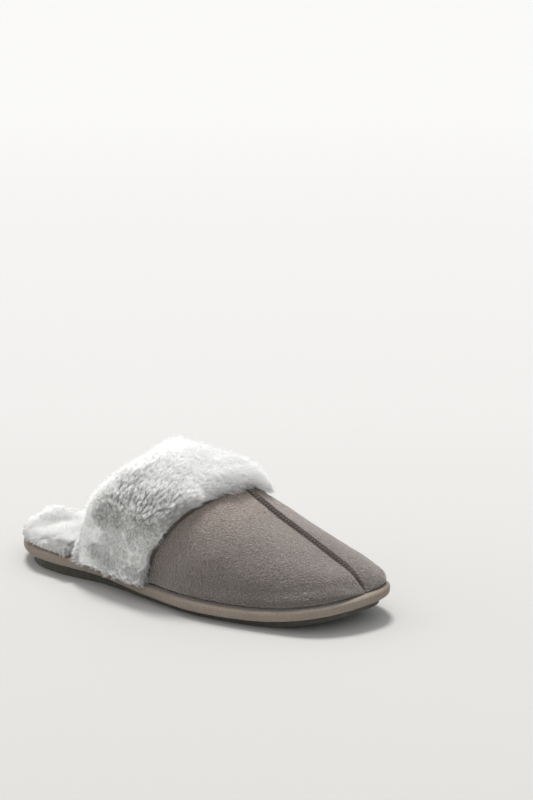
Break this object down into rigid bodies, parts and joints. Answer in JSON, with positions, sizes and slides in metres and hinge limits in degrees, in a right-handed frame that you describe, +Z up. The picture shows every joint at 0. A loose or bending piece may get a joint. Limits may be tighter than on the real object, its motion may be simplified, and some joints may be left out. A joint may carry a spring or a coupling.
{
  "type": "house slipper",
  "caption": "Backless house slipper for the right foot: suede upper with a raised centre seam, wide faux-fur cuff, pile footbed and a bound platform on a grooved rubber outsole.",
  "frame": {"origin": "middle of the bounding box in plan, on the floor under the outsole", "axes": "+X towards the toe, +Y towards the inner side of the foot, +Z up"},
  "size_m": [0.262, 0.0936, 0.0926],
  "materials": {
    "outsole_rubber": "matt moulded rubber",
    "eva_foam": "closed-cell foam",
    "binding_tape": "ribbed woven tape",
    "fibre_board": "pressed fibre board",
    "cushion_foam": "open-cell foam",
    "faux_fur": "long soft pile, white tips over grey roots",
    "suede": "brushed microfibre suede",
    "plush_lining": "short plush",
    "thread": "spun polyester thread"
  },
  "bodies": {
    "root": {"outsole": "outsole_rubber", "midsole_foam": "eva_foam", "platform_binding": "binding_tape", "insole_board": "fibre_board", "footbed_foam": "cushion_foam", "footbed_fur": "faux_fur", "vamp_lateral": "suede", "vamp_medial": "suede", "vamp_padding_lateral": "cushion_foam", "vamp_padding_medial": "cushion_foam", "vamp_lining_lateral": "plush_lining", "vamp_lining_medial": "plush_lining", "centre_seam_thread": "thread", "fur_cuff": "faux_fur", "cuff_seam_thread": "thread"}
  },
  "joints": []
}
